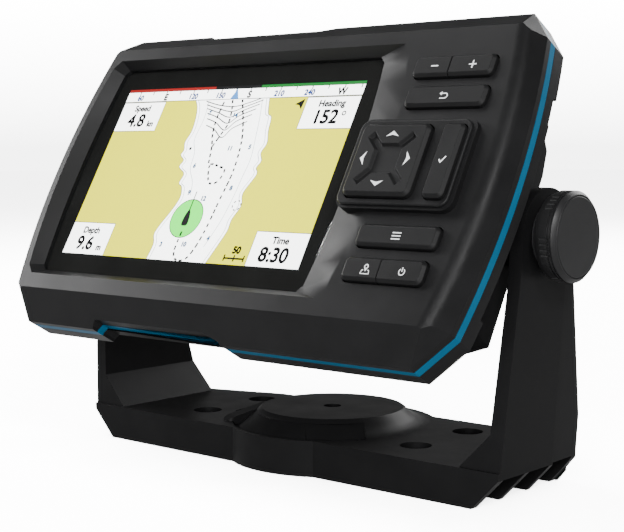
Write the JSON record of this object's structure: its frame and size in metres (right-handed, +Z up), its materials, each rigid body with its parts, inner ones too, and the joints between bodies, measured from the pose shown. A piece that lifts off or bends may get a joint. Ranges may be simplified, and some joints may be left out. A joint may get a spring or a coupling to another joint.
{
  "type": "chartplotter display",
  "caption": "Wide sailing display with a sloped screen recess, keypad and rocking pad, on a tilting U-shaped bail bracket with clamping side knobs.",
  "frame": {"origin": "on the floor, on the axis of the bracket's centre hole", "axes": "+X right along the knob axis, +Y towards the back, +Z up; the screen faces -Y and leans back 30 degrees"},
  "size_m": [0.2002, 0.0996, 0.1414],
  "materials": {
    "housing_plastic": "fine spark-eroded texture, matt",
    "bracket_plastic": "moulded, satin matt",
    "knob_plastic": "fine matt texture",
    "accent_plastic": "smooth satin",
    "key_rubber": "soft-touch coated silicone",
    "seal_rubber": "matt",
    "cover_glass": "polished, black printed border",
    "display": "lit colour display",
    "circuit_board": "solder mask",
    "connector_plastic": "moulded, matt",
    "ceramic": "fired ceramic",
    "ribbon_film": "polyimide film",
    "steel": "plain",
    "brass": "turned"
  },
  "bodies": {
    "bracket": {"bracket": "bracket_plastic"},
    "head": {"front_bezel": "housing_plastic", "rear_housing": "housing_plastic", "accent_band": "accent_plastic", "housing_gasket": "seal_rubber", "cover_glass": "cover_glass", "lcd_panel": "display", "backlight": "steel", "glass_gasket": "seal_rubber", "display_chassis": "steel", "main_board": "circuit_board", "keypad_board": "circuit_board", "board_screws": "steel", "keypad_screws": "steel", "housing_screws": "steel", "shield_can": "steel", "gps_antenna": "ceramic", "beeper": "connector_plastic", "ribbon_cable": "ribbon_film", "keypad_mat": "key_rubber", "key_domes": "steel", "pivot_insert_left": "brass", "pivot_insert_right": "brass", "friction_ring_left": "seal_rubber", "friction_ring_right": "seal_rubber", "vent_plug": "connector_plastic", "power_socket": "connector_plastic", "transducer_socket": "connector_plastic", "power_pins": "brass", "transducer_pins": "brass"},
    "pad_spider": {"pad_spider": "connector_plastic"},
    "direction_pad": {"direction_pad": "key_rubber"},
    "zoom_out_key": {"zoom_out_key": "key_rubber"},
    "zoom_in_key": {"zoom_in_key": "key_rubber"},
    "back_key": {"back_key": "key_rubber"},
    "menu_key": {"menu_key": "key_rubber"},
    "mark_key": {"mark_key": "key_rubber"},
    "power_key": {"power_key": "key_rubber"},
    "enter_key": {"enter_key": "key_rubber"},
    "knob_right": {"knob_grip_right": "knob_plastic", "knob_cap_right": "knob_plastic", "knob_stud_right": "steel", "knob_washer_right": "connector_plastic"},
    "knob_left": {"knob_grip_left": "knob_plastic", "knob_cap_left": "knob_plastic", "knob_stud_left": "steel", "knob_washer_left": "connector_plastic"}
  },
  "joints": [
    {"name": "head_tilt", "type": "hinge", "parent": "bracket", "child": "head", "pos_m": [0, -0.0112, 0.078], "axis": [1, 0, 0], "range_deg": [-60, 29]},
    {"name": "knob_right_turn", "type": "hinge", "parent": "bracket", "child": "knob_right", "pos_m": [0, -0.0112, 0.078], "axis": [1, 0, 0], "range_deg": [0, 720]},
    {"name": "knob_left_turn", "type": "hinge", "parent": "bracket", "child": "knob_left", "pos_m": [0, -0.0112, 0.078], "axis": [-1, 0, 0], "range_deg": [0, 720]},
    {"name": "zoom_out_key_press", "type": "slide", "parent": "head", "child": "zoom_out_key", "axis": [0, 0.866, -0.5], "range_m": [0, 0.0007], "stiffness_N_per_m": 400, "springref_m": -0.0008},
    {"name": "zoom_in_key_press", "type": "slide", "parent": "head", "child": "zoom_in_key", "axis": [0, 0.866, -0.5], "range_m": [0, 0.0007], "stiffness_N_per_m": 400, "springref_m": -0.0008},
    {"name": "back_key_press", "type": "slide", "parent": "head", "child": "back_key", "axis": [0, 0.866, -0.5], "range_m": [0, 0.0007], "stiffness_N_per_m": 400, "springref_m": -0.0008},
    {"name": "menu_key_press", "type": "slide", "parent": "head", "child": "menu_key", "axis": [0, 0.866, -0.5], "range_m": [0, 0.0007], "stiffness_N_per_m": 400, "springref_m": -0.0008},
    {"name": "mark_key_press", "type": "slide", "parent": "head", "child": "mark_key", "axis": [0, 0.866, -0.5], "range_m": [0, 0.0007], "stiffness_N_per_m": 400, "springref_m": -0.0008},
    {"name": "power_key_press", "type": "slide", "parent": "head", "child": "power_key", "axis": [0, 0.866, -0.5], "range_m": [0, 0.0007], "stiffness_N_per_m": 400, "springref_m": -0.0008},
    {"name": "enter_key_press", "type": "slide", "parent": "head", "child": "enter_key", "axis": [0, 0.866, -0.5], "range_m": [0, 0.0007], "stiffness_N_per_m": 400, "springref_m": -0.0008},
    {"name": "pad_rock_up_down", "type": "hinge", "parent": "head", "child": "pad_spider", "pos_m": [0.05745, -0.0413, 0.09809], "axis": [1, 0, 0], "range_deg": [-3, 3], "stiffness_Nm_per_rad": 0.25},
    {"name": "pad_rock_sideways", "type": "hinge", "parent": "pad_spider", "child": "direction_pad", "pos_m": [0.05745, -0.0413, 0.09809], "axis": [0, 0.5, 0.866], "range_deg": [-3, 3], "stiffness_Nm_per_rad": 0.25}
  ]
}
